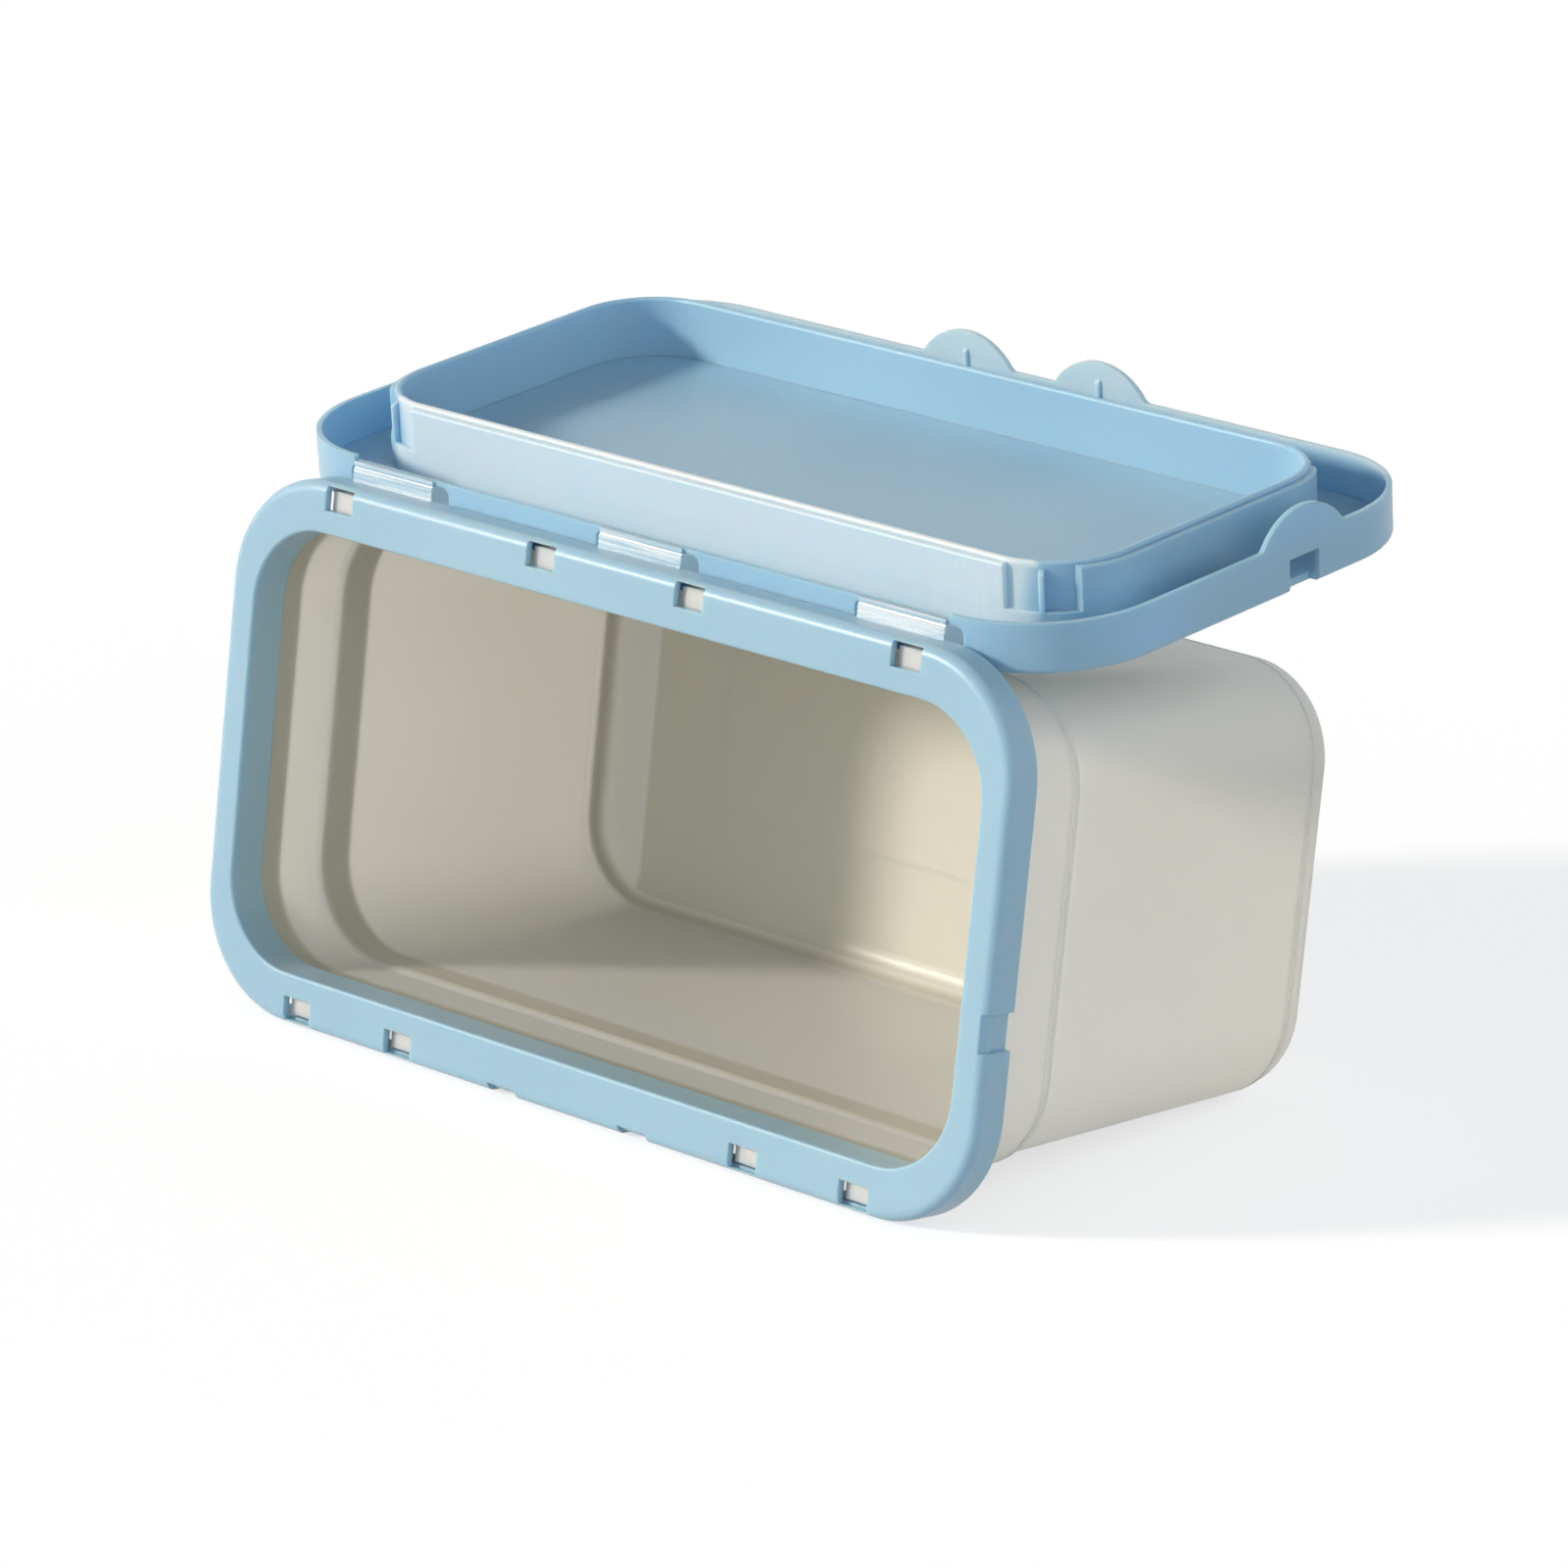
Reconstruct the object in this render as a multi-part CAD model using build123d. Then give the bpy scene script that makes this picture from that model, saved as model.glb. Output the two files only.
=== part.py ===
from build123d import *

import math
import os

# Detergent storage box: tapered tub, clip-on rim frame and flap lid on three film hinges.
# Millimetres. Each piece is drawn upright, mouth up, hinge at +Y and the rim's front face at Z = 0.
# The whole box is then laid on its latch side, as it rests with the lid thrown open.

# Rim frame
rim_width = 200.0
rim_height = 106.1
rim_corner = 23.0
rim_wall = 1.2
rim_depth = 7.2
rim_edge_round = 2.1
flange_thick = 1.6
flange_short_side = 6.7
flange_long_side = 9.9
mouth_corner = 16.7
mouth_edge_round = 0.5
inner_skirt_wall = 1.0
inner_skirt_depth = 8.3

# Tub
box_depth = 102.5
tub_wall = 1.35
tub_floor = 1.8
tub_fit = 0.15
band_depth = 24.3
band_step = 0.65
band_land = 0.9
inner_step_start = 23.5
inner_step_length = 2.5
wall_draft = 3.1
base_corner = 18.5
plinth_height = 5.6
plinth_step = 0.35
plinth_land = 0.7
seam_width = 0.7
seam_depth = 0.35
base_round = 4.4
inner_base_round = 5.5
base_panel_length = 118.0
base_panel_width = 34.0
base_panel_corner = 6.0
base_panel_step = 0.5

# Snap lugs of the tub, and the windows and hooks of the rim that hold them
end_lug_inset = 27.5
latch_lug_inset = 55.0
mid_lug_offset = 19.0
lug_width = 6.4
lug_reach = 5.7
lug_thick = 1.8
lug_gusset = 3.2
snap_gap = 0.2
window_width = 7.2
window_height = 4.7
window_edge = 0.7
hook_reach = 2.4
hook_height = 3.0
hook_tip = 0.6
hook_side_gap = 0.5

# Lid
lid_gap = 0.2
lid_thick = 1.4
lid_wall = 1.1
lid_gap_short_side = 0.3
lid_gap_long_side = 0.9
lid_corner = 25.0
lid_edge_round = 1.2
skirt_height = 9.8
hinge_edge_drop = 1.0
hinge_edge_inset = 24.0
plug_gap_short_side = 1.7
plug_gap_long_side = 2.8
plug_corner = 17.4
plug_depth = 13.4
plug_step = 1.3
plug_wall = 1.4
plug_edge_round = 0.5
lip_rise = 0.8
lip_round = 0.6
tray_depth = 12.1
stack_margin = 1.4
pocket_long = 15.9
pocket_short = 7.3
ledge_height = 5.1
fin_turn = 60.0
fin_thick = 1.0
fin_bevel = 1.5

# Press tabs of the lid with their catches
side_tab_offset = -13.4
front_tab_offset = 17.0
tab_width = 23.0
tab_height = 6.2
tab_root_round = 1.6
catch_width = 6.4
catch_height = 2.4
catch_dip = 0.55
catch_land = 0.8
catch_window_width = 8.4
catch_window_edge = 3.4
catch_notch_depth = 2.4
notch_width = 7.2
notch_depth = 1.3
notch_crest = 0.65
notch_lead = 2.0
notch_slope = 0.2
notch_entry = 0.4
tab_rib_width = 1.0
tab_rib_reach = 0.6
tab_rib_length = 5.0
tab_rib_bevel = 1.0

# Film hinges
film_end_inset = 35.0
film_names = ("left", "middle", "right")
film_length = 21.0
film_thick = 0.5
film_groove = 0.25
film_window_margin = 2.6
film_window_shift = 1.0
film_window_height = 4.6
film_window_bar = 0.9
film_window_round = 1.5
axis_out_of_skirt = 0.8
axis_from_rim_back = 0.9
stop_gap = 0.5

# How deep a joined feature sits in its carrier, and how far a cut runs past a face
root_sink = 0.3
cut_over = 1.0

# Worked out from the sizes above
end_lug = rim_width / 2 - end_lug_inset
latch_lug = rim_width / 2 - latch_lug_inset
hinge_lug_places = (-end_lug, -mid_lug_offset, mid_lug_offset, end_lug)
latch_lug_places = (-end_lug, -latch_lug, latch_lug, end_lug)
end_film = rim_width / 2 - film_end_inset
film_places = (-end_film, 0.0, end_film)
hinge_edge_half = rim_width / 2 - hinge_edge_inset
mouth_width = rim_width - 2 * flange_short_side
mouth_height = rim_height - 2 * flange_long_side
skirt_width = mouth_width + 2 * inner_skirt_wall
skirt_span = mouth_height + 2 * inner_skirt_wall
cavity_width = skirt_width + 2 * tub_fit
cavity_height = skirt_span + 2 * tub_fit
cavity_corner = mouth_corner + inner_skirt_wall + tub_fit
band_width = cavity_width + 2 * tub_wall
band_height = cavity_height + 2 * tub_wall
band_corner = cavity_corner + tub_wall
wall_top_width = band_width - 2 * band_step
wall_top_height = band_height - 2 * band_step
base_width = wall_top_width - 2 * wall_draft
base_height = wall_top_height - 2 * wall_draft
lid_width = rim_width + 2 * (lid_gap_short_side + lid_wall)
lid_height = rim_height + 2 * (lid_gap_long_side + lid_wall)
lid_inner = lid_gap
lid_outer = lid_gap + lid_thick
lid_free = lid_outer - skirt_height
plug_width = mouth_width - 2 * plug_gap_short_side
plug_height = mouth_height - 2 * plug_gap_long_side
ring_width = plug_width - 2 * plug_step
ring_height = plug_height - 2 * plug_step
ring_corner = plug_corner - plug_step
lip_level = -plug_depth - lip_rise
tray_floor = lip_level + tray_depth
hinge_y = lid_height / 2 + axis_out_of_skirt
hinge_z = axis_from_rim_back - rim_depth


def rounded_block(width, height, corner, low, high):
    """Straight block with a rounded rectangle as its section."""
    return Pos(0, 0, low) * extrude(RectangleRounded(width, height, corner), high - low)


def tapered_block(low_section, low, high_section, high):
    """Ruled block between two rounded rectangles, each given as width, height and corner."""
    ends = [
        Pos(0, 0, low) * RectangleRounded(*low_section),
        Pos(0, 0, high) * RectangleRounded(*high_section),
    ]
    return loft(ends, ruled=True)


def profile_across(points, width):
    """Solid with a profile of (Y, Z) points, centred on X."""
    return extrude(Plane.YZ * make_face(Polyline(*points, close=True)), width / 2, both=True)


def profile_along(points, width):
    """Solid with a profile of (X, Z) points, centred on Y."""
    return extrude(Plane.XZ * make_face(Polyline(*points, close=True)), width / 2, both=True)


def at_lugs(solid):
    """Copies of a hinge-side solid at every lug place of both long sides."""
    hinge_side = [Pos(place, 0, 0) * solid for place in hinge_lug_places]
    latch_side = [Pos(place, 0, 0) * Rot(Z=180) * solid for place in latch_lug_places]
    return hinge_side + latch_side


def wall_section(depth):
    """Outer section of the drafted tub wall at a depth below the rim's front face."""
    share = (depth - band_depth) / (box_depth - band_depth)
    inset = 2 * wall_draft * share
    corner = band_corner + (base_corner - band_corner) * share
    return wall_top_width - inset, wall_top_height - inset, corner


def inset_section(section, amount):
    """Section moved inwards by an amount on every side."""
    width, height, corner = section
    return width - 2 * amount, height - 2 * amount, corner - amount


def make_seam(section, low):
    """Ring that cuts a fine line round a wall of a given section."""
    high = low + seam_width
    outer = rounded_block(*inset_section(section, -cut_over), low, high)
    return outer - rounded_block(*inset_section(section, seam_depth), low, high)


def lowest_edges(solid):
    """Edges at a solid's lowest level."""
    return solid.edges().group_by(Axis.Z)[0]


def highest_edges(solid):
    """Edges at a solid's highest level."""
    return solid.edges().group_by(Axis.Z)[-1]


def make_lug():
    """Snap lug on the tub's hinge side, with a flat catch and a gusset down the wall."""
    root = band_height / 2 - tub_wall / 2
    tip = band_height / 2 + lug_reach
    top = -flange_thick - snap_gap
    catch = top - lug_thick
    heel = tip - hook_reach - snap_gap
    points = [(root, top), (tip, top), (tip, catch), (heel, catch), (root, catch - lug_gusset)]
    return profile_across(points, lug_width)


def make_tub():
    """Tub with a straight band under the rim, drafted walls, a plinth line and a stepped floor."""
    band_end = -band_depth
    plinth_top = plinth_height - box_depth
    plinth_section = inset_section(wall_section(box_depth - plinth_height), plinth_step)
    foot_section = inset_section(wall_section(box_depth), plinth_step)
    band_section = (band_width, band_height, band_corner)
    band = rounded_block(*band_section, band_end, -flange_thick)
    wall_foot = wall_section(box_depth - plinth_height)
    wall = tapered_block(wall_foot, plinth_top, wall_section(band_depth), band_end)
    plinth = tapered_block(foot_section, -box_depth, plinth_section, plinth_top)
    plinth = fillet(lowest_edges(plinth), base_round)
    outside = band + wall + plinth - make_seam(band_section, band_end + band_land)
    outside -= make_seam(wall_foot, plinth_top + plinth_land)

    step_end = inner_step_start + inner_step_length
    floor = tub_floor - box_depth
    neck_section = (cavity_width, cavity_height, cavity_corner)
    neck = rounded_block(*neck_section, -inner_step_start, 0)
    throat_section = inset_section(wall_section(step_end), tub_wall)
    throat = tapered_block(throat_section, -step_end, neck_section, -inner_step_start)
    well_section = inset_section(wall_section(box_depth - tub_floor), tub_wall)
    well = tapered_block(well_section, floor, throat_section, -step_end)
    well = fillet(lowest_edges(well), inner_base_round)
    tub = outside - neck - throat - well

    panel = (base_panel_length, base_panel_width, base_panel_corner)
    tub += rounded_block(*panel, floor - tub_floor / 2, floor + base_panel_step)
    tub -= rounded_block(*panel, -box_depth - cut_over, -box_depth + base_panel_step)
    return tub + at_lugs(make_lug())


def make_rim_notch(outer, offset):
    """Catch recess in the rim's side wall, with the pad that backs it."""
    back = outer - notch_depth
    pad_front = -flange_thick / 2
    pad_back = back - rim_wall
    pad_face = outer - rim_wall / 2
    pad_size = (pad_face - pad_back, notch_width + 2 * rim_wall, pad_front + rim_depth)
    pad = Pos((pad_back + pad_face) / 2, offset, (pad_front - rim_depth) / 2) * Box(*pad_size)
    clear = outer + cut_over
    crest = outer - notch_crest
    points = [
        (back, -rim_depth - cut_over),
        (back, -notch_lead - notch_slope),
        (crest, -notch_lead),
        (back - notch_entry, 0),
        (back - notch_entry, cut_over),
        (clear, cut_over),
        (clear, -rim_depth - cut_over),
    ]
    recess = Pos(0, offset, 0) * profile_along(points, notch_width)
    return pad, recess


def make_rim_hook():
    """Hook inside the rim's long wall that catches a lug of the tub."""
    wall_face = rim_height / 2 - rim_wall / 2
    tip = band_height / 2 + lug_reach - hook_reach
    top = -flange_thick - 2 * snap_gap - lug_thick
    points = [(wall_face, top), (tip, top), (tip, top - hook_tip), (wall_face, top - hook_height)]
    return profile_across(points, window_width - 2 * hook_side_gap)


def make_rim():
    """Rim frame: flange, outer wall and inner skirt, with snap windows and catch recesses."""
    shell = rounded_block(rim_width, rim_height, rim_corner, -rim_depth, 0)
    shell = fillet(highest_edges(shell), rim_edge_round)
    room_section = inset_section((rim_width, rim_height, rim_corner), rim_wall)
    room = rounded_block(*room_section, -rim_depth - cut_over, -flange_thick)
    skirt_corner = mouth_corner + inner_skirt_wall
    skirt = rounded_block(skirt_width, skirt_span, skirt_corner, -inner_skirt_depth, -flange_thick / 2)
    mouth_low = -inner_skirt_depth - cut_over
    mouth = rounded_block(mouth_width, mouth_height, mouth_corner, mouth_low, cut_over)
    rim = shell - room + skirt - mouth
    front_face = rim.faces().sort_by(Axis.Z)[-1]
    rim = fillet(front_face.inner_wires().edges(), mouth_edge_round)

    window_mid = rim_height / 2 - window_edge - window_height / 2
    window_size = (window_width, window_height, flange_thick + cut_over)
    window = Pos(0, window_mid, -flange_thick / 2) * Box(*window_size)
    rim = rim - at_lugs(window) + at_lugs(make_rim_hook())

    pad, recess = make_rim_notch(rim_width / 2, side_tab_offset)
    rim = rim + pad - recess
    for offset in (-front_tab_offset, front_tab_offset):
        pad, recess = make_rim_notch(rim_height / 2, offset)
        rim = rim + Rot(Z=-90) * pad - Rot(Z=-90) * recess
    return rim


def make_tab_blade(outer, offset):
    """Round press tab hanging from the skirt's free edge, with filleted roots."""
    radius = (tab_width**2 / 4 + tab_height**2) / (2 * tab_height)
    centre = lid_free - tab_height + radius
    strip = Pos(0, lid_free + tab_height / 4) * Rectangle(tab_width + 6 * tab_root_round, tab_height / 2)
    disc = Pos(0, centre) * Circle(radius)
    below = Pos(0, lid_free - tab_height) * Rectangle(2 * tab_width, 2 * tab_height)
    outline = (disc & below) + strip
    free_edge = outline.vertices().group_by(Axis.Y)[0]
    roots = free_edge.sort_by(lambda corner: abs(corner.X))[:2]
    outline = fillet(roots, tab_root_round)
    return Pos(outer - lid_wall, offset, 0) * extrude(Plane.YZ * outline, lid_wall)


def make_catch(outer, offset, gap):
    """Press tab and catch on a skirt wall: what is added, and the window that is cut."""
    inner = outer - lid_wall
    edge = lid_free + catch_window_edge
    reach = gap + catch_dip
    root = inner + root_sink
    bump_points = [(root, edge), (inner - reach, edge), (inner - reach, edge - catch_land)]
    bump_points.append((root, edge - catch_height))
    bump = Pos(0, offset, 0) * profile_along(bump_points, catch_width)
    rib_low = lid_free - tab_height / 2
    rib_top = rib_low + tab_rib_length
    rib_points = [(root, rib_low), (inner - tab_rib_reach, rib_low + tab_rib_bevel)]
    rib_points += [(inner - tab_rib_reach, rib_top), (root, rib_top)]
    rib = Pos(0, offset, 0) * profile_along(rib_points, tab_rib_width)
    window_top = lid_outer + cut_over
    window_mid = outer + (cut_over - catch_notch_depth) / 2
    window_size = (catch_notch_depth + cut_over, catch_window_width, window_top - edge)
    window = Pos(window_mid, offset, (edge + window_top) / 2) * Box(*window_size)
    return [make_tab_blade(outer, offset), bump, rib], window


def make_fin(centre_x, centre_y, angle):
    """Bevelled centring fin in a corner pocket of the plug."""
    root = ring_corner - plug_wall / 2
    foot = lid_inner - ledge_height + root_sink
    bevel = -plug_depth + fin_bevel
    points = [(root, foot), (plug_corner, foot), (plug_corner, bevel), (root, -plug_depth)]
    return Pos(centre_x, centre_y, 0) * Rot(Z=angle) * profile_along(points, fin_thick)


def make_plug():
    """Inner ring of the lid: thick straight sides, thin corners with a ledge and a fin each."""
    thick = rounded_block(plug_width, plug_height, plug_corner, -plug_depth, lid_inner + lid_thick / 2)
    thick = fillet(lowest_edges(thick), plug_edge_round)
    pocket_top = lid_inner - ledge_height
    pocket_low = lip_level - cut_over
    pocket = Box(2 * pocket_long, 2 * pocket_short, pocket_top - pocket_low)
    for side_x in (-1, 1):
        for side_y in (-1, 1):
            place = Pos(side_x * plug_width / 2, side_y * plug_height / 2, (pocket_top + pocket_low) / 2)
            thick -= place * pocket
    ring = rounded_block(ring_width, ring_height, ring_corner, lip_level, lid_inner)
    plug = thick + ring
    for side_x in (-1, 1):
        for side_y in (-1, 1):
            angle = side_y * (fin_turn if side_x > 0 else 180 - fin_turn)
            centre_x = side_x * (plug_width / 2 - plug_corner)
            centre_y = side_y * (plug_height / 2 - plug_corner)
            plug += make_fin(centre_x, centre_y, angle)
    tray = (ring_width - 2 * plug_wall, ring_height - 2 * plug_wall, ring_corner - plug_wall)
    plug -= rounded_block(*tray, lip_level - cut_over, lid_outer)
    plug += rounded_block(*inset_section(tray, -plug_wall / 2), tray_floor, tray_floor + lid_thick)
    return fillet(lowest_edges(plug), lip_round)


def make_lid():
    """Flap lid in its closed place: panel with a stacking recess, skirt, plug, tabs and hinge reliefs."""
    shell = rounded_block(lid_width, lid_height, lid_corner, lid_free, lid_outer)
    shell = fillet(highest_edges(shell), lid_edge_round)
    inner_section = inset_section((lid_width, lid_height, lid_corner), lid_wall)
    shell -= rounded_block(*inner_section, lid_free - cut_over, lid_inner)
    stack_section = inset_section((ring_width, ring_height, ring_corner), plug_wall + stack_margin)
    shell -= rounded_block(*stack_section, lid_inner - cut_over, lid_outer + cut_over)
    lid = shell + make_plug()
    lid -= rounded_block(*stack_section, tray_floor + lid_thick, lid_outer + cut_over)

    added, window = make_catch(lid_width / 2, side_tab_offset, lid_gap_short_side)
    lid = lid + added - window
    for offset in (-front_tab_offset, front_tab_offset):
        added, window = make_catch(lid_height / 2, offset, lid_gap_long_side)
        lid = lid + [Rot(Z=-90) * piece for piece in added] - Rot(Z=-90) * window

    skirt_mid = lid_height / 2 - lid_wall / 2
    lid -= Pos(0, skirt_mid, lid_free) * Box(2 * hinge_edge_half, 2 * lid_wall, 2 * hinge_edge_drop)
    window_low = lid_free + hinge_edge_drop + film_window_bar
    outline = RectangleRounded(film_length + 2 * film_window_margin, film_window_height, film_window_round)
    relief_place = Pos(film_window_shift, skirt_mid + lid_wall, window_low + film_window_height / 2)
    relief = relief_place * extrude(Plane.XZ * outline, 2 * lid_wall)
    for place in film_places:
        lid -= Pos(place, 0, 0) * relief
    return lid


def open_angle():
    """Turn from closed to open, where the hinge-side skirt leans on the rim's back edge."""
    from_axis_y = rim_height / 2 - hinge_y
    from_axis_z = -rim_depth - hinge_z
    reach = math.hypot(from_axis_y, from_axis_z)
    lean = math.acos((axis_out_of_skirt - stop_gap) / reach) - math.atan2(-from_axis_y, -from_axis_z)
    return 270 - math.degrees(lean)


def swing(angle):
    """Turn about the hinge axis, from closed towards open."""
    axis = Pos(0, hinge_y, hinge_z)
    return axis * Rot(X=-angle) * axis.inverse()


def skirt_point(level):
    """Place of a point of the hinge-side skirt's outer face when the lid is open."""
    point = swing(open_angle()) * Pos(0, lid_height / 2, level)
    return point.position.Y, point.position.Z


def make_film():
    """Film strip from the rim's outer wall to the skirt, thinned by a groove on the hinge axis."""
    bar_low = lid_free + hinge_edge_drop
    edge_y, edge_z = skirt_point(bar_low)
    foot_y, foot_z = skirt_point(bar_low + film_window_bar)
    points = [
        (rim_height / 2, hinge_z - film_thick),
        (rim_height / 2, hinge_z),
        (hinge_y, hinge_z),
        (edge_y, edge_z + film_thick),
        (edge_y, edge_z),
        (foot_y, foot_z),
        (hinge_y, hinge_z - film_thick),
    ]
    groove = Pos(0, hinge_y, hinge_z) * Rot(Y=90) * Cylinder(film_groove, 2 * film_length)
    return profile_across(points, film_length) - groove


def resting_lean():
    """Lean of the mouth when the rim's back edge and the tub's foot both touch the floor."""
    edge_depth = box_depth - plinth_height
    edge_rise = rim_height / 2 - wall_section(edge_depth)[1] / 2
    edge_lean = math.atan2(edge_rise, edge_depth - rim_depth)
    round_rise = rim_height / 2 - (base_height / 2 - plinth_step - base_round)
    round_run = box_depth - base_round - rim_depth
    round_lean = math.acos(base_round / math.hypot(round_rise, round_run)) - math.atan2(round_run, round_rise)
    return math.degrees(min(edge_lean, round_lean))


def make_pieces():
    """All pieces by name, with the box lying on its latch side and the lid open."""
    upright = {"tub": make_tub(), "rim_frame": make_rim(), "lid": swing(open_angle()) * make_lid()}
    for name, place in zip(film_names, film_places):
        upright[f"hinge_film_{name}"] = Pos(place, 0, 0) * make_film()
    lying = {name: Rot(X=90 - resting_lean()) * piece for name, piece in upright.items()}
    box = Compound(list(lying.values())).bounding_box()
    seat = Pos(-box.center().X, -box.center().Y, -box.min.Z)
    return {name: seat * piece for name, piece in lying.items()}


os.makedirs("parts", exist_ok=True)
for node, piece in make_pieces().items():
    export_step(piece, f"parts/{node}.step")
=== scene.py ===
"""Looks of an open storage box for detergent: milky tub, light-blue rim frame and flap lid, pale hinge films."""

import logging
import math
from dataclasses import dataclass
from enum import Enum

import bmesh
import bpy
from mathutils import Matrix, Vector


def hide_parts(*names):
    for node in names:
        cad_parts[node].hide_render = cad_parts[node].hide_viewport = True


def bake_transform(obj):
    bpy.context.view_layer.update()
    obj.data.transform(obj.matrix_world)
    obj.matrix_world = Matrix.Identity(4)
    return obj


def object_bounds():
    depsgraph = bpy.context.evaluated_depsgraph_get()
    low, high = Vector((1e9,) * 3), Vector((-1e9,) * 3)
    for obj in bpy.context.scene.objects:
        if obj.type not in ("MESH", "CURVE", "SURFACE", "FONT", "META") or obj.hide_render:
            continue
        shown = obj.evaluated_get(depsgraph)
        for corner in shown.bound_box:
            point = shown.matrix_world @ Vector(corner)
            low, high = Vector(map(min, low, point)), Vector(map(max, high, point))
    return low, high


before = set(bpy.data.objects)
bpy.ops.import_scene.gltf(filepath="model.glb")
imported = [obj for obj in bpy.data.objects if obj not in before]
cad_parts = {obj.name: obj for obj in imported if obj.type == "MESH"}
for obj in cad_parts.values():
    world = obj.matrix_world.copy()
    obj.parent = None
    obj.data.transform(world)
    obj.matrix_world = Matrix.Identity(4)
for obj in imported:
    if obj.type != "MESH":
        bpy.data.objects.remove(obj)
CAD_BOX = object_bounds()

LOG = logging.getLogger("storage_box")
MM = 0.001
NOISE_LOW, NOISE_HIGH = 0.2, 0.8

Color = tuple[float, float, float]
Point = tuple[float, float, float]
Socket = bpy.types.NodeSocket


class Body(Enum):
    """Rigid bodies of the box."""

    BOX = "box"
    LID = "lid"


class Slot(Enum):
    """Finish slot names."""

    FILM = "film_plastic"


def linear(red: float, green: float, blue: float) -> Color:
    """Scene-linear colour of a display colour.

    Args:
        red: Red from 0 to 255.
        green: Green from 0 to 255.
        blue: Blue from 0 to 255.

    Returns:
        The same colour as three linear values.
    """

    def decode(value: float) -> float:
        """Linear value of one display value."""
        share = value / 255
        return share / 12.92 if share <= 0.04045 else ((share + 0.055) / 1.055) ** 2.4

    return decode(red), decode(green), decode(blue)


class NodeGraph:
    """Adds and joins the nodes of one tree."""

    def __init__(self, tree: bpy.types.NodeTree) -> None:
        """Starts from an empty tree.

        Args:
            tree: Tree whose nodes are replaced.
        """
        self.tree = tree
        self.tree.nodes.clear()

    def add(self, kind: str, sockets: dict[str | int, object] | None = None, **settings: object) -> bpy.types.Node:
        """Adds one node.

        Args:
            kind: Type name of the node.
            sockets: Input name or number to a constant, or to the output socket that feeds it.
            settings: Properties of the node itself.

        Returns:
            The new node.
        """
        node = self.tree.nodes.new(kind)
        for name, value in settings.items():
            setattr(node, name, value)
        for name, value in (sockets or {}).items():
            if isinstance(value, Socket):
                self.tree.links.new(value, node.inputs[name])
            else:
                node.inputs[name].default_value = value
        return node

    def coordinates(self) -> Socket:
        """Object coordinates, in metres."""
        return self.add("ShaderNodeTexCoord").outputs["Object"]

    def stretched(self, place: Socket, scale: Point) -> Socket:
        """Coordinates scaled by a factor for each axis."""
        return self.add("ShaderNodeMapping", {"Vector": place, "Scale": scale}).outputs["Vector"]

    def noise(self, place: Socket, scale: float, detail: float = 2.0) -> Socket:
        """Noise value between 0 and 1 with a number of features per unit."""
        return self.add("ShaderNodeTexNoise", {"Vector": place, "Scale": scale, "Detail": detail}).outputs["Fac"]

    def math(self, operation: str, first: Socket | float, second: Socket | float) -> Socket:
        """Result of a sum on two values."""
        return self.add("ShaderNodeMath", {0: first, 1: second}, operation=operation).outputs["Value"]

    def smooth(
        self, value: Socket, start: float, end: float, low: Socket | float = 0.0, high: float = 1.0
    ) -> Socket:
        """Smooth step of a value.

        Args:
            value: Value that is followed.
            start: Value where the step starts.
            end: Value where the step ends.
            low: Result before the start.
            high: Result after the end.

        Returns:
            The stepped value.
        """
        sockets = {"Value": value, "From Min": start, "From Max": end, "To Min": low, "To Max": high}
        return self.add("ShaderNodeMapRange", sockets, interpolation_type="SMOOTHSTEP").outputs["Result"]

    def within(self, value: Socket, low: float, high: float, soft: float) -> Socket:
        """One between two limits, falling softly to zero outside them."""
        rise = self.smooth(value, low - soft, low + soft)
        fall = self.smooth(value, high - soft, high + soft, 1.0, 0.0)
        return self.math("MULTIPLY", rise, fall)

    def along(self, place: Socket, direction: Socket | Point) -> Socket:
        """Distance of a point along a direction from the origin."""
        return self.add("ShaderNodeVectorMath", {0: place, 1: direction}, operation="DOT_PRODUCT").outputs["Value"]

    def tones(self, value: Socket, first: Color, second: Color) -> Socket:
        """Colour drifting between two tones with a noise value."""
        ramp = self.add("ShaderNodeValToRGB", {"Fac": value})
        ramp.color_ramp.interpolation = "EASE"
        stops = ((NOISE_LOW, first), (NOISE_HIGH, second))
        for element, (position, color) in zip(ramp.color_ramp.elements, stops):
            element.position = position
            element.color = (*color, 1.0)
        return ramp.outputs["Color"]

    def mixed(self, share: Socket, first: Socket | Color, second: Socket | Color) -> Socket:
        """Colour between two colours."""
        node = self.add("ShaderNodeMix", {"Factor": share}, data_type="RGBA")
        entries = [socket for socket in node.inputs if socket.type == "RGBA"]
        for entry, value in zip(entries, (first, second)):
            if isinstance(value, Socket):
                self.tree.links.new(value, entry)
            else:
                entry.default_value = (*value, 1.0)
        return next(socket for socket in node.outputs if socket.type == "RGBA")


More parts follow.
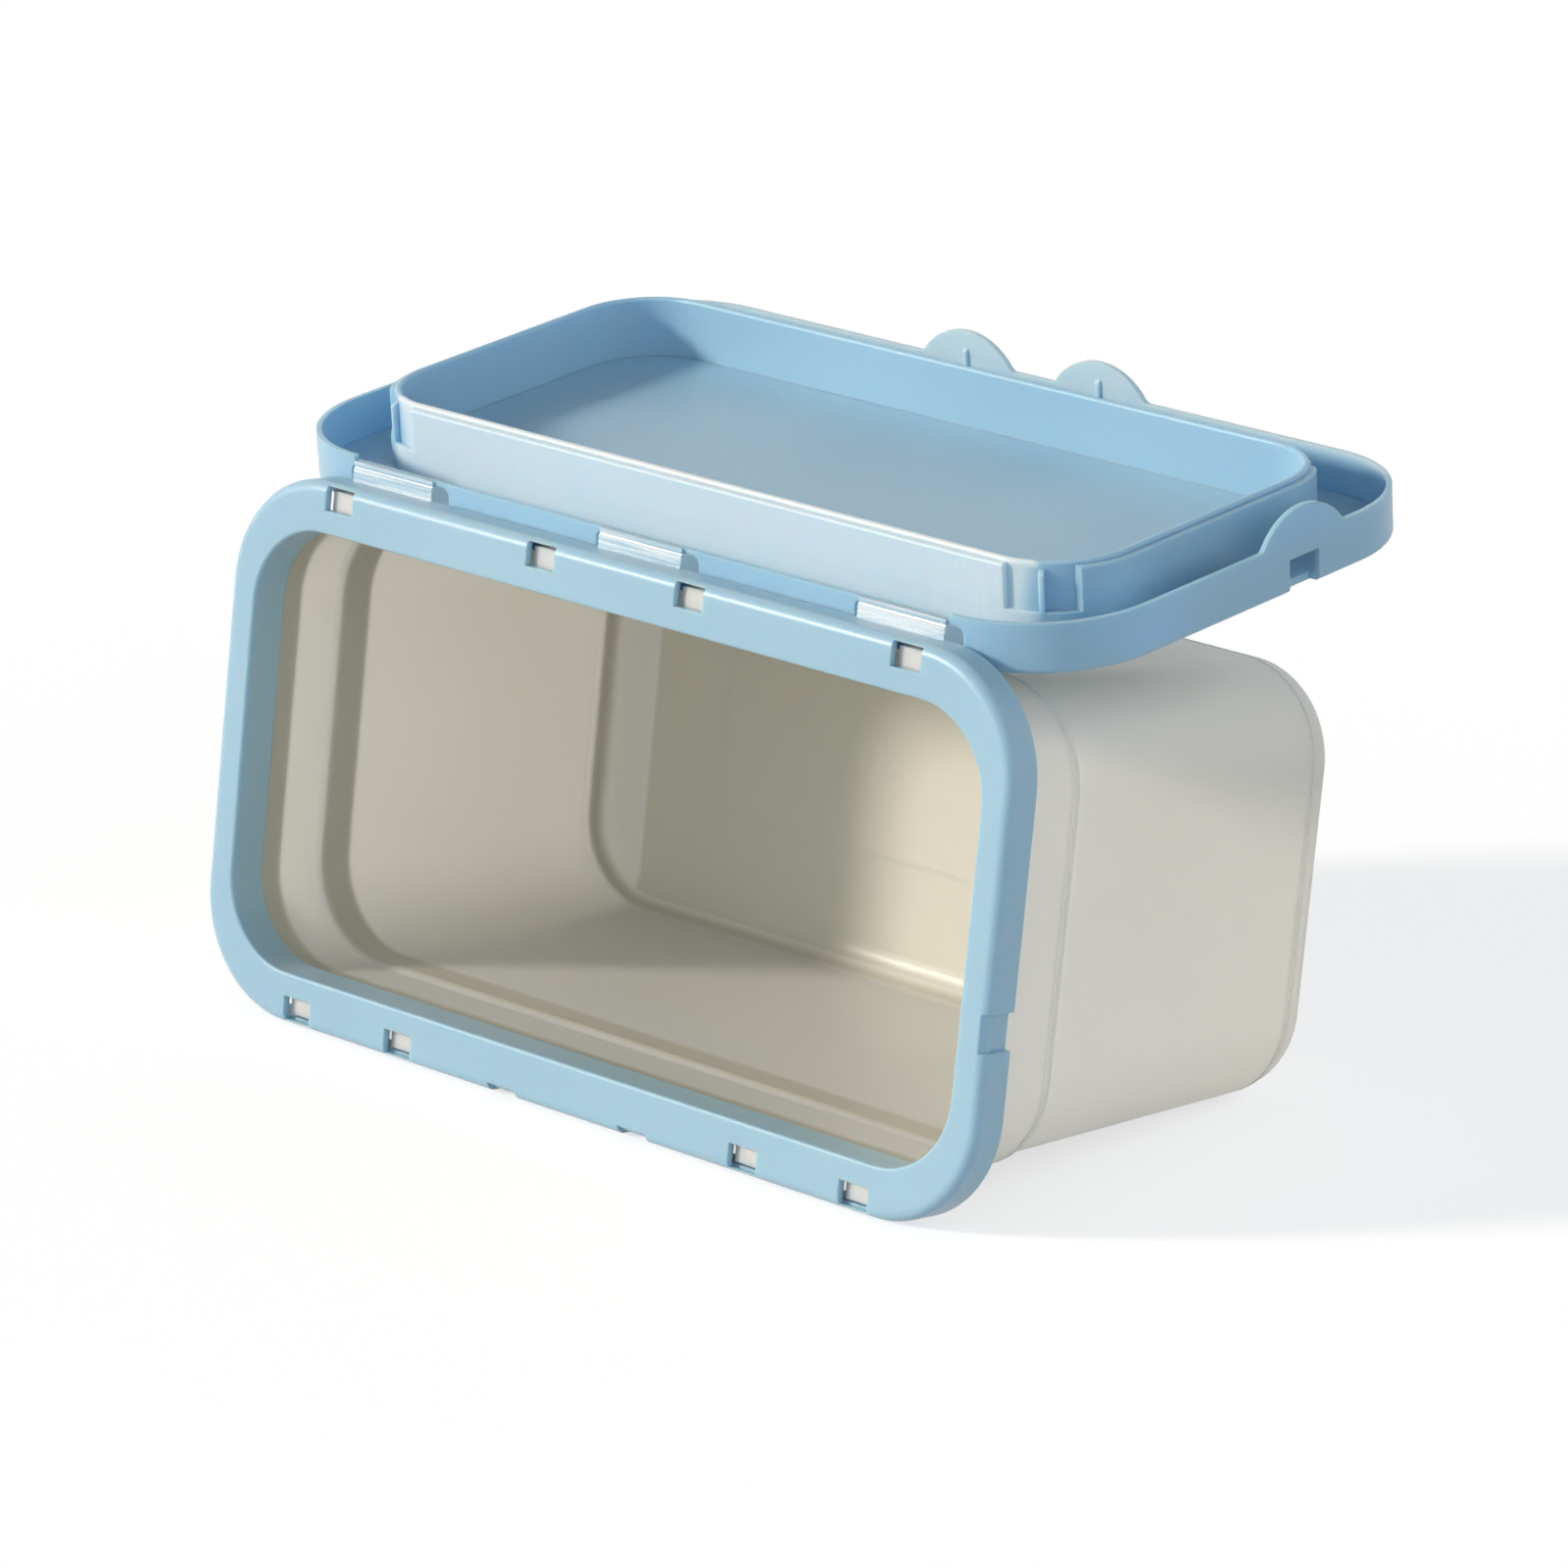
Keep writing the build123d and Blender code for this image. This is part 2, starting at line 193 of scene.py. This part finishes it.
@dataclass(frozen=True)
class MouldedPlastic:
    """Moulded plastic with a slow drift of tone, a soft gloss, light inside its walls and a fine skin."""

    name: str
    light_tone: Color
    deep_tone: Color
    roughness: float
    roughness_drift: float = 0.02
    drift_per_metre: float = 18.0
    skin_per_metre: float = 900.0
    skin_depth: float = 0.002 * MM
    edge_round: float = 0.0
    edge_samples: int = 2
    ior: float = 1.49
    scatter: float = 0.8
    scatter_depth: float = 0.9 * MM
    scatter_ratio: Point = (1.0, 0.97, 0.9)
    clear: float = 0.0

    def start(self) -> tuple[bpy.types.Material, NodeGraph, Socket]:
        """Starts the material.

        Returns:
            The material, its graph and the coordinates that its patterns follow.
        """
        material = bpy.data.materials.new(self.name)
        material.use_nodes = True
        graph = NodeGraph(material.node_tree)
        return material, graph, graph.coordinates()

    def tone(self, graph: NodeGraph, place: Socket) -> Socket:
        """Colour of the plastic, drifting slowly over the piece."""
        return graph.tones(graph.noise(place, self.drift_per_metre, 0.0), self.deep_tone, self.light_tone)

    def depth(self, graph: NodeGraph, place: Socket) -> Socket | float:
        """How far light travels inside the wall."""
        return self.scatter_depth

    def relief(self, graph: NodeGraph, place: Socket) -> Socket:
        """Normal of the fine skin, laid over softened edges where the plastic has them."""
        sockets = {"Height": graph.noise(place, self.skin_per_metre), "Distance": self.skin_depth}
        if self.edge_round:
            edge = graph.add("ShaderNodeBevel", {"Radius": self.edge_round}, samples=self.edge_samples)
            sockets["Normal"] = edge.outputs["Normal"]
        return graph.add("ShaderNodeBump", sockets).outputs["Normal"]

    def finish(self, graph: NodeGraph, place: Socket, tone: Socket) -> None:
        """Adds the shader and its output.

        Args:
            graph: Graph of the material.
            place: Coordinates that the patterns follow.
            tone: Colour of the plastic.
        """
        drift = graph.noise(place, 2 * self.drift_per_metre, 0.0)
        low, high = self.roughness - self.roughness_drift, self.roughness + self.roughness_drift
        sockets = {
            "Base Color": tone,
            "Roughness": graph.smooth(drift, NOISE_LOW, NOISE_HIGH, low, high),
            "Normal": self.relief(graph, place),
            "IOR": self.ior,
            "Transmission Weight": self.clear,
            "Subsurface Weight": self.scatter,
            "Subsurface Scale": self.depth(graph, place),
            "Subsurface Radius": self.scatter_ratio,
        }
        shader = graph.add("ShaderNodeBsdfPrincipled", sockets)
        graph.add("ShaderNodeOutputMaterial", {"Surface": shader.outputs["BSDF"]})

    def material(self) -> bpy.types.Material:
        """Builds the shader of this plastic."""
        material, graph, place = self.start()
        self.finish(graph, place, self.tone(graph, place))
        return material


@dataclass(frozen=True)
class ShadePaintedPlastic(MouldedPlastic):
    """Milky plastic with painted shade: bands below the mouth and at its foot are painted darker and scatter light
    less far through the wall, and the middle of the floor of its inside is painted darker.

    Depths run from the mouth along the inward direction. The centre is a point of the hollow that tells the
    faces of the inside from those of the outside.
    """

    inward: Point = (0.0, 0.99266, -0.12093)
    mouth_at: float = -64.99 * MM
    # Painted shade: depth bands of the inside painted darker, for the rim's shadow through the wall, a dark band below
    # it and the shaded crease at the foot.
    shade_bands: tuple[tuple[float, float], ...] = (
        (8.0 * MM, 14.0 * MM),
        (25.0 * MM, 32.0 * MM),
        (97.0 * MM, 99.0 * MM),
    )
    shade_band_soft: float = 1.2 * MM
    shade_band_depth: float = 0.1 * MM
    # Colour of the painted shade on the bands and on the floor of the inside.
    shade_tone: Color = (0.34, 0.34, 0.23)
    band_shade: float = 0.5
    # Painted shade on the middle of the floor of the inside, from floor_start down; the end strips beyond floor_half
    # stay unshaded as a painted highlight.
    floor_start: float = 99.6 * MM
    floor_soft: float = 0.3 * MM
    floor_shade: float = 0.34
    floor_half: float = 78.8 * MM
    floor_side_soft: float = 0.6 * MM
    centre: Point = (0.0, -10.0 * MM, 50.0 * MM)
    facing_soft: float = 30.0 * MM

    def below(self, graph: NodeGraph, place: Socket) -> Socket:
        """Distance of a point below the mouth."""
        return graph.math("SUBTRACT", graph.along(place, self.inward), self.mouth_at)

    def inside(self, graph: NodeGraph, place: Socket) -> Socket:
        """One on the faces of the inside, zero on the outside."""
        away = graph.add("ShaderNodeVectorMath", {0: place, 1: self.centre}, operation="SUBTRACT").outputs["Vector"]
        facing = graph.along(away, graph.add("ShaderNodeNewGeometry").outputs["Normal"])
        return graph.smooth(facing, -self.facing_soft, 0.0, 1.0, 0.0)

    def shade_band(self, graph: NodeGraph, below: Socket) -> Socket:
        """One in the bands of painted shade, falling softly to zero beyond them."""
        shade_band = 0.0
        for start, end in self.shade_bands:
            shade_band = graph.math("MAXIMUM", graph.within(below, start, end, self.shade_band_soft), shade_band)
        return shade_band

    def floor(self, graph: NodeGraph, place: Socket, below: Socket) -> Socket:
        """One on the middle of the floor, where painted shade goes; zero on the walls and on the floor's two end
        strips, which stay pale as a painted highlight.
        """
        start, soft = self.floor_start, self.floor_soft
        deep = graph.smooth(below, start - soft, start + soft)
        start, soft = self.floor_half, self.floor_side_soft
        side = graph.math("ABSOLUTE", graph.along(place, (1.0, 0.0, 0.0)), 0.0)
        return graph.math("MULTIPLY", deep, graph.smooth(side, start - soft, start + soft, 1.0, 0.0))

    def tone(self, graph: NodeGraph, place: Socket) -> Socket:
        """Colour with painted shade on the bands and on the middle of the floor of the inside."""
        below = self.below(graph, place)
        shade_band = graph.math("MULTIPLY", self.shade_band(graph, below), self.band_shade)
        floor = graph.math("MULTIPLY", self.floor(graph, place, below), self.floor_shade)
        # Painted shade: the bands and the floor's middle are mixed towards the shade colour on the faces of the
        # inside.
        share = graph.math("MULTIPLY", graph.math("MAXIMUM", shade_band, floor), self.inside(graph, place))
        return graph.mixed(share, super().tone(graph, place), self.shade_tone)

    def depth(self, graph: NodeGraph, place: Socket) -> Socket:
        """How far light travels inside the wall, less in the painted shade bands of the inside, so that they pass less
        light.
        """
        shade_band = self.shade_band(graph, self.below(graph, place))
        share = graph.math("MULTIPLY", shade_band, self.inside(graph, place))
        return graph.smooth(share, 0.0, 1.0, self.scatter_depth, self.shade_band_depth)


@dataclass(frozen=True)
class StreakedPlastic(MouldedPlastic):
    """Plastic with pale lines drawn along one axis."""

    streak_tone: Color = (0.78, 0.85, 0.89)
    streak_scale: Point = (25.0, 1000.0, 1000.0)
    streak_detail: float = 3.0
    streak_start: float = 0.45
    streak_end: float = 0.6

    def tone(self, graph: NodeGraph, place: Socket) -> Socket:
        """Colour with the pale lines laid over it."""
        lines = graph.noise(graph.stretched(place, self.streak_scale), 1.0, self.streak_detail)
        share = graph.smooth(lines, self.streak_start, self.streak_end)
        return graph.mixed(share, super().tone(graph, place), self.streak_tone)


@dataclass(frozen=True)
class SheenAndDragPatch:
    """Box with soft edges where a plastic gets a painted sheen, a painted highlight or painted light, or where its
    drag lines lie.
    """

    centre: Point
    half: Point
    soft: float
    strength: float

    def share(self, graph: NodeGraph, place: Socket) -> Socket:
        """Share of the painted sheen or drag colour at a point.

        Args:
            graph: Graph of the material.
            place: Coordinates of the point.

        Returns:
            The strength inside the box, falling softly to zero outside it.
        """
        axes = graph.add("ShaderNodeSeparateXYZ", {"Vector": place}).outputs
        masks = [
            graph.within(axis, middle - reach, middle + reach, min(self.soft, reach / 2))
            for axis, middle, reach in zip(axes, self.centre, self.half)
        ]
        inside = graph.math("MULTIPLY", graph.math("MULTIPLY", masks[0], masks[1]), masks[2])
        return graph.math("MULTIPLY", inside, self.strength)


@dataclass(frozen=True)
class SatinPlastic(MouldedPlastic):
    """Satin plastic with soft edges that light passes through, its blue furthest."""

    roughness: float = 0.35
    edge_round: float = 0.45 * MM
    scatter: float = 1.0
    scatter_depth: float = 1.9 * MM
    scatter_ratio: Point = (0.5, 0.85, 1.1)


@dataclass(frozen=True)
class DraggedSheenPlastic(SatinPlastic):
    """Satin plastic with painted light at its thin far edge, a painted sheen on the wall that slides in the mouth and
    a painted highlight on its near lip, with fine drag lines.
    """

    # Colour of the painted sheen, highlight and light, and of the drag lines.
    drag_and_sheen_tone: Color = (0.78, 0.87, 0.92)
    # Painted sheen: the wall that slides in the mouth is painted paler, as a soft reflection would make it.
    sliding_wall_sheen: SheenAndDragPatch = SheenAndDragPatch(
        (0.0, -30.0 * MM, 111.0 * MM), (86.0 * MM, 1.6 * MM, 9.0 * MM), 6.0 * MM, 0.75
    )
    # Painted highlight: a near-white band along the near lip.
    near_lip_highlight: SheenAndDragPatch = SheenAndDragPatch((0.0, -29.3 * MM, 117.6 * MM), (88.0 * MM, 1.3 * MM, 1.0 * MM), 0.4 * MM, 0.9)
    # Painted light: the thin far edge is painted paler where light shines through it.
    far_edge_light: SheenAndDragPatch = SheenAndDragPatch((0.0, 64.0 * MM, 124.6 * MM), (110.0 * MM, 6.0 * MM, 6.0 * MM), 1.2 * MM, 0.55)
    drag: SheenAndDragPatch = SheenAndDragPatch((67.0 * MM, -30.0 * MM, 111.0 * MM), (9.0 * MM, 1.6 * MM, 7.5 * MM), 2.5 * MM, 0.3)
    drag_scale: Point = (2100.0, 30.0, 60.0)
    drag_start: float = 0.4
    drag_end: float = 0.65

    def tone(self, graph: NodeGraph, place: Socket) -> Socket:
        """Colour with the painted sheen, painted highlight and painted light patches and the drag lines laid over it.
        """
        tone = super().tone(graph, place)
        # Mixes the painted sheen, highlight and light over the tone.
        for patch in (self.sliding_wall_sheen, self.near_lip_highlight, self.far_edge_light):
            tone = graph.mixed(patch.share(graph, place), tone, self.drag_and_sheen_tone)
        lines = graph.noise(graph.stretched(place, self.drag_scale), 1.0)
        lines = graph.smooth(lines, self.drag_start, self.drag_end)
        share = graph.math("MULTIPLY", lines, self.drag.share(graph, place))
        return graph.mixed(share, tone, self.drag_and_sheen_tone)


RIM_PLASTIC = SatinPlastic(
    name="light_blue_plastic",
    light_tone=linear(173, 208, 227),
    deep_tone=linear(167, 203, 223),
)
LID_PLASTIC = DraggedSheenPlastic(
    name="light_blue_lid_plastic",
    light_tone=linear(168, 205, 225),
    deep_tone=linear(162, 200, 221),
)
TUB_PLASTIC = ShadePaintedPlastic(
    name="milky_plastic",
    light_tone=linear(237, 234, 226),
    deep_tone=linear(233, 230, 221),
    roughness=0.38,
    scatter=1.0,
    scatter_depth=4.2 * MM,
)
FILM_PLASTIC = StreakedPlastic(
    name="film_plastic",
    light_tone=linear(194, 217, 230),
    deep_tone=linear(168, 199, 218),
    roughness=0.16,
    scatter=0.3,
    clear=0.1,
)


@dataclass(frozen=True)
class Moulding:
    """Packed moulding that keeps its shape and gets a finish."""

    node: str
    plastic: MouldedPlastic

    def build(self) -> None:
        """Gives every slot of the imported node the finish."""
        material = self.plastic.material()
        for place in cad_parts[self.node].material_slots:
            place.material = material
        LOG.info("dressed %s with %s", self.node, material.name)


@dataclass(frozen=True)
class Tub(Moulding):
    """Milky tub with its snap lugs."""

    node: str = "tub"
    plastic: MouldedPlastic = TUB_PLASTIC


@dataclass(frozen=True)
class RimFrame(Moulding):
    """Clip-on frame round the mouth."""

    node: str = "rim_frame"
    plastic: MouldedPlastic = RIM_PLASTIC


@dataclass(frozen=True)
class Lid(Moulding):
    """Flap lid with its plug ring and press tabs."""

    node: str = "lid"
    plastic: MouldedPlastic = LID_PLASTIC


@dataclass(frozen=True)
class HingeFilms:
    """Three film hinges, each a ribbed strip between the rim and the lid.

    The section is given in the box's own directions, in millimetres: the first value runs from the mouth's
    middle towards the hinge side, the second out of the mouth.
    """

    nodes: tuple[str, ...] = ("hinge_film_left", "hinge_film_middle", "hinge_film_right")
    plastic: MouldedPlastic = FILM_PLASTIC
    length: float = 21.0 * MM
    pitch: float = 65.0 * MM
    lean_deg: float = 6.94602
    seat: tuple[float, float] = (-58.94825, 53.53137)
    axis: tuple[float, float] = (55.85, -6.3)
    bend_half: float = 0.2
    merge: float = 0.001 * MM
    section: tuple[tuple[float, float], ...] = (
        (53.05, -6.8),
        (53.05, -6.3),
        (53.55, -6.3),
        (53.75, -6.45),
        (53.95, -6.3),
        (54.5, -6.3),
        (54.7, -6.45),
        (54.9, -6.3),
        (55.45, -6.3),
        (55.65, -6.5),
        (55.85, -6.55),
        (56.05, -6.5),
        (56.2, -6.333),
        (56.896, -6.396),
        (56.896, -6.896),
        (56.016, -7.082),
        (55.85, -6.8),
    )

    def placed(self, out: float, front: float) -> Vector:
        """Point of the section in the row frame, in metres.

        Args:
            out: Place towards the hinge side, in millimetres.
            front: Place out of the mouth, in millimetres.

        Returns:
            The point at the section's own middle.
        """
        lean = math.radians(self.lean_deg)
        depth = out * math.sin(lean) - front * math.cos(lean) + self.seat[0]
        height = out * math.cos(lean) + front * math.sin(lean) + self.seat[1]
        return Vector((0.0, depth, height)) * MM

    def make_section(self) -> bpy.types.Object:
        """Makes the strip's section as one flat face."""
        shape = bmesh.new()
        shape.faces.new([shape.verts.new(self.placed(*point)) for point in self.section])
        mesh = bpy.data.meshes.new("film_section")
        shape.to_mesh(mesh)
        shape.free()
        section = bpy.data.objects.new("film_section", mesh)
        bpy.context.scene.collection.objects.link(section)
        return section

    def make_tree(self) -> bpy.types.NodeTree:
        """Makes the node tree that draws the section out and repeats it along the hinge."""
        tree = bpy.data.node_groups.new("film_strips", "GeometryNodeTree")
        entries = (
            ("Geometry", "NodeSocketGeometry"),
            ("Length", "NodeSocketFloat"),
            ("Count", "NodeSocketInt"),
            ("Pitch", "NodeSocketFloat"),
            ("Material", "NodeSocketMaterial"),
        )
        for name, kind in entries:
            tree.interface.new_socket(name, in_out="INPUT", socket_type=kind)
        tree.interface.new_socket("Geometry", in_out="OUTPUT", socket_type="NodeSocketGeometry")
        graph = NodeGraph(tree)
        given = graph.add("NodeGroupInput").outputs
        reach = graph.add("ShaderNodeCombineXYZ", {"X": given["Length"]}).outputs[0]
        drawn = graph.add("GeometryNodeExtrudeMesh", {"Mesh": given["Geometry"], "Offset": reach, "Individual": False})
        back = graph.add("GeometryNodeFlipFaces", {"Mesh": given["Geometry"]}).outputs[0]
        whole = graph.add("GeometryNodeJoinGeometry")
        for part in (drawn.outputs["Mesh"], back):
            tree.links.new(part, whole.inputs[0])
        strip = graph.add("GeometryNodeMergeByDistance", {"Geometry": whole.outputs[0], "Distance": self.merge})
        count_back = graph.math("SUBTRACT", given["Count"], 1.0)
        span = graph.math("MULTIPLY", count_back, given["Pitch"])
        whole_run = graph.math("ADD", span, given["Length"])
        first = graph.add("ShaderNodeCombineXYZ", {"X": graph.math("MULTIPLY", whole_run, -0.5)}).outputs[0]
        step = graph.add("ShaderNodeCombineXYZ", {"X": given["Pitch"]}).outputs[0]
        line = graph.add("GeometryNodeMeshLine", {"Count": given["Count"], "Start Location": first, "Offset": step})
        sockets = {"Points": line.outputs[0], "Instance": strip.outputs[0]}
        copies = graph.add("GeometryNodeInstanceOnPoints", sockets).outputs[0]
        real = graph.add("GeometryNodeRealizeInstances", {"Geometry": copies}).outputs[0]
        clad = graph.add("GeometryNodeSetMaterial", {"Geometry": real, "Material": given["Material"]}).outputs[0]
        graph.add("NodeGroupOutput", {"Geometry": clad})
        return tree

    def build(self) -> None:
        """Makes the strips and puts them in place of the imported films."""
        section = self.make_section()
        tree = self.make_tree()
        strips = section.modifiers.new("film_strips", "NODES")
        strips.node_group = tree
        values = {
            "Length": self.length,
            "Count": len(self.nodes),
            "Pitch": self.pitch,
            "Material": self.plastic.material(),
        }
        for entry in tree.interface.items_tree:
            if entry.in_out == "INPUT" and entry.name in values:
                strips[entry.identifier] = values[entry.name]
        drawn = section.evaluated_get(bpy.context.evaluated_depsgraph_get())
        mesh = bpy.data.meshes.new_from_object(drawn)
        films = bpy.data.objects.new("hinge_films", mesh)
        bpy.context.scene.collection.objects.link(films)
        bpy.data.objects.remove(section)
        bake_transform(films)
        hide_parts(*self.nodes)
        LOG.info("built hinge_films with %d faces", len(mesh.polygons))


@dataclass(frozen=True)
class PhotoCamera:
    """Camera at the photograph's viewing angle."""

    place: Point = (1.0131, -1.1018, 0.5240)
    azimuth_deg: float = 42.755
    elevation_deg: float = 17.524
    roll_deg: float = -0.672
    lens_mm: float = 189.344
    sensor_mm: float = 36.0

    def build(self) -> None:
        """Makes the camera and sets it as the scene's own."""
        azimuth = math.radians(self.azimuth_deg)
        elevation = math.radians(self.elevation_deg)
        level = math.cos(elevation)
        back = Vector((math.sin(azimuth) * level, -math.cos(azimuth) * level, math.sin(elevation)))
        right = Vector((math.cos(azimuth), math.sin(azimuth), 0.0))
        right = Matrix.Rotation(math.radians(self.roll_deg), 3, -back) @ right
        up = back.cross(right)
        data = bpy.data.cameras.new("photo_camera")
        data.lens = self.lens_mm
        data.sensor_width = self.sensor_mm
        camera = bpy.data.objects.new("photo_camera", data)
        turn = Matrix((right, up, back)).transposed().to_4x4()
        camera.matrix_world = Matrix.Translation(self.place) @ turn
        bpy.context.scene.collection.objects.link(camera)
        bpy.context.scene.camera = camera


@dataclass(frozen=True)
class SunLamp:
    """Even studio lamp that shines from one direction."""

    name: str
    towards: Point
    strength: float
    spread_deg: float
    color: Color

    def build(self) -> None:
        """Adds the lamp to the scene."""
        data = bpy.data.lights.new(self.name, "SUN")
        data.energy = self.strength
        data.angle = math.radians(self.spread_deg)
        data.color = self.color
        lamp = bpy.data.objects.new(self.name, data)
        lamp.rotation_mode = "QUATERNION"
        lamp.rotation_quaternion = Vector(self.towards).to_track_quat("Z", "Y")
        bpy.context.scene.collection.objects.link(lamp)


@dataclass(frozen=True)
class Studio:
    """Pale floor, soft lamps and an even white surround."""

    floor_half: float = 6.0
    floor_color: Color = (0.6, 0.6, 0.6)
    floor_glow: float = 0.64
    horizon_light: float = 0.78
    zenith_light: float = 0.12
    sky_color: Color = (0.95, 1.0, 1.06)
    seen_color: Color = (1.0, 1.0, 1.0)
    seen_light: float = 1.0
    lamps: tuple[SunLamp, ...] = (
        SunLamp("key_lamp", (-0.5936, -0.7372, 0.3228), 2.3, 8.0, (1.1, 1.01, 0.9)),
        SunLamp("fill_lamp", (0.93, -0.05, 0.36), 0.42, 70.0, (0.92, 1.0, 1.07)),
    )

    def build(self) -> None:
        """Makes the floor, the lamps and the surround."""
        self.build_floor()
        self.build_world()
        for lamp in self.lamps:
            lamp.build()
        bpy.context.scene.view_settings.view_transform = "Standard"

    @staticmethod
    def seen_rays(graph: NodeGraph) -> Socket:
        """One for rays that reach the eye directly, from a gloss or through a clear wall."""
        path = graph.add("ShaderNodeLightPath").outputs
        direct = graph.math("MAXIMUM", path["Is Camera Ray"], path["Is Transmission Ray"])
        return graph.math("MAXIMUM", direct, path["Is Glossy Ray"])

    def build_floor(self) -> None:
        """Lays a wide pale floor under the box."""
        mesh = bpy.data.meshes.new("floor")
        shape = bmesh.new()
        bmesh.ops.create_grid(shape, x_segments=1, y_segments=1, size=self.floor_half)
        shape.to_mesh(mesh)
        shape.free()
        floor = bpy.data.objects.new("floor", mesh)
        floor.location.z = CAD_BOX[0].z
        material = bpy.data.materials.new("pale_floor")
        material.use_nodes = True
        graph = NodeGraph(material.node_tree)
        matt = graph.add("ShaderNodeBsdfDiffuse", {"Color": (*self.floor_color, 1.0)}).outputs[0]
        glow_strength = graph.smooth(self.seen_rays(graph), 0.0, 1.0, 0.0, self.floor_glow)
        glow = graph.add("ShaderNodeEmission", {"Strength": glow_strength}).outputs[0]
        both = graph.add("ShaderNodeAddShader", {0: matt, 1: glow}).outputs[0]
        graph.add("ShaderNodeOutputMaterial", {"Surface": both})
        mesh.materials.append(material)
        bpy.context.scene.collection.objects.link(floor)

    def build_world(self) -> None:
        """Fills the surround with soft light that changes with height, white where it is seen."""
        world = bpy.data.worlds.new("studio")
        world.use_nodes = True
        graph = NodeGraph(world.node_tree)
        height = graph.add("ShaderNodeSeparateXYZ", {"Vector": graph.coordinates()}).outputs["Z"]
        light = graph.smooth(height, 0.0, 1.0, self.horizon_light, self.zenith_light)
        seen = self.seen_rays(graph)
        color = graph.mixed(seen, self.sky_color, self.seen_color)
        sockets = {"Color": color, "Strength": graph.smooth(seen, 0.0, 1.0, light, self.seen_light)}
        graph.add("ShaderNodeOutputWorld", {"Surface": graph.add("ShaderNodeBackground", sockets).outputs[0]})
        bpy.context.scene.world = world


def main() -> None:
    """Dresses the box piece by piece and sets up the studio."""
    logging.basicConfig(level=logging.INFO, format="%(message)s")
    for piece in (Tub(), RimFrame(), Lid(), HingeFilms()):
        piece.build()
    Studio().build()
    PhotoCamera().build()


if __name__ == "__main__":
    main()
